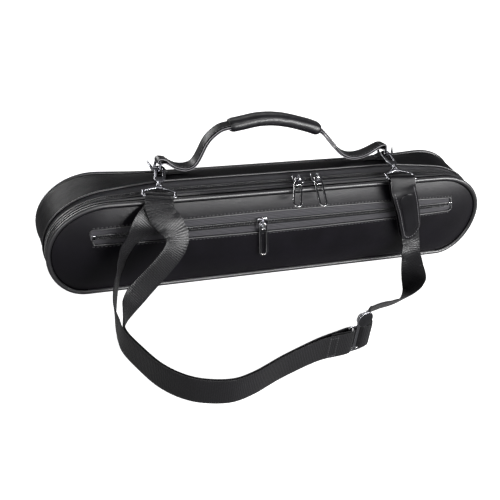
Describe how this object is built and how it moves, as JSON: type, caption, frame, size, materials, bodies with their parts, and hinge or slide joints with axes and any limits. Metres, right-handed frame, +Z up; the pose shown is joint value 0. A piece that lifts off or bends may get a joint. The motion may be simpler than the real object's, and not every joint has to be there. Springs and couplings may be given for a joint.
{
  "type": "flute bag",
  "caption": "Long padded soft bag for a flute case, with a zipped front lid, a front pocket, a padded top handle and a clip-on shoulder strap.",
  "frame": {"origin": "middle of the flat underside that the bag stands on", "axes": "+X along the bag's length, +Z up, -Y towards the front with the zipped lid and its pocket"},
  "size_m": [0.44, 0.223, 0.1518],
  "materials": {
    "black_leather": "satin",
    "black_webbing": "matte",
    "dark_lining": "matte",
    "grey_foam": "matte",
    "gunmetal": "polished"
  },
  "bodies": {
    "case": {"back_panel": "black_leather", "base_lining": "dark_lining", "base_padding": "grey_foam", "bottom_gusset": "black_leather", "rear_gusset": "black_leather", "rear_piping": "black_leather", "zipper_coil_rear": "black_webbing", "zipper_tape_rear": "black_webbing", "d_ring_left": "gunmetal", "d_ring_right": "gunmetal", "ring_tab_left": "black_leather", "ring_tab_right": "black_leather", "handle_end_left": "black_leather", "handle_end_right": "black_leather", "hook_left": "gunmetal", "hook_right": "gunmetal", "hook_eye_left": "gunmetal", "hook_eye_right": "gunmetal", "strap_end_tab": "black_leather", "strap_inner": "black_webbing", "strap_outer": "black_webbing", "strap_single": "black_webbing"},
    "lid": {"front_panel": "black_leather", "front_piping": "black_leather", "front_gusset": "black_leather", "zipper_coil_front": "black_webbing", "zipper_tape_front": "black_webbing", "lid_padding": "grey_foam", "lid_lining": "dark_lining", "pocket_lining": "dark_lining", "pocket_tape_lower": "black_webbing", "pocket_tape_upper": "black_webbing", "pocket_coil_lower": "black_webbing", "pocket_coil_upper": "black_webbing", "pocket_stop_left": "gunmetal", "pocket_stop_right": "gunmetal"},
    "handle": {"handle_arch": "black_leather", "handle_grip": "black_leather"},
    "left_slider": {"main_slider_left": "gunmetal"},
    "right_slider": {"main_slider_right": "gunmetal"},
    "left_pull": {"pull_left": "gunmetal"},
    "right_pull": {"pull_right": "gunmetal"},
    "front_slider": {"pocket_slider": "gunmetal"},
    "front_pull": {"pocket_pull": "gunmetal"},
    "left_gate": {"hook_gate_left": "gunmetal"},
    "right_gate": {"hook_gate_right": "gunmetal"},
    "glide": {"strap_slider": "gunmetal", "slider_disc": "gunmetal"}
  },
  "joints": [
    {"name": "lid_open", "type": "hinge", "parent": "case", "child": "lid", "pos_m": [0, -0.0282, 0], "axis": [1, 0, 0], "range_deg": [0, 72], "deforming": ["strap_inner", "strap_outer", "strap_single", "strap_end_tab"]},
    {"name": "handle_tilt", "type": "hinge", "parent": "case", "child": "handle", "pos_m": [0, 0.013, 0.1012], "axis": [1, 0, 0], "range_deg": [-55, 55], "deforming": ["handle_end_left", "handle_end_right"]},
    {"name": "left_zip", "type": "slide", "parent": "lid", "child": "left_slider", "axis": [1, 0, 0], "range_m": [-0.094, 0]},
    {"name": "right_zip", "type": "slide", "parent": "lid", "child": "right_slider", "axis": [1, 0, 0], "range_m": [0, 0.053]},
    {"name": "left_pull_swing", "type": "hinge", "parent": "left_slider", "child": "left_pull", "pos_m": [0.014, -0.0183, 0.0994], "axis": [-1, 0, 0], "range_deg": [0, 140]},
    {"name": "right_pull_swing", "type": "hinge", "parent": "right_slider", "child": "right_pull", "pos_m": [0.033, -0.0183, 0.0994], "axis": [-1, 0, 0], "range_deg": [0, 140]},
    {"name": "pocket_zip", "type": "slide", "parent": "lid", "child": "front_slider", "axis": [1, 0, 0], "range_m": [-0.061, 0.112]},
    {"name": "pocket_pull_swing", "type": "hinge", "parent": "front_slider", "child": "front_pull", "pos_m": [-0.024, -0.03752, 0.06445], "axis": [-1, 0, 0], "range_deg": [0, 150]},
    {"name": "left_gate_open", "type": "hinge", "parent": "case", "child": "left_gate", "pos_m": [-0.11667, 0.00705, 0.10347], "axis": [0, -0.0397, 0.9992], "range_deg": [0, 20], "stiffness_Nm_per_rad": 0.02},
    {"name": "right_gate_open", "type": "hinge", "parent": "case", "child": "right_gate", "pos_m": [0.12221, 0.00567, 0.10337], "axis": [0, 0.036, -0.9994], "range_deg": [0, 20], "stiffness_Nm_per_rad": 0.02},
    {"name": "strap_adjust", "type": "slide", "parent": "case", "child": "glide", "axis": [0.9848, 0.1736, 0], "range_m": [-0.012, 0.008], "deforming": ["strap_inner", "strap_outer", "strap_single"]}
  ]
}
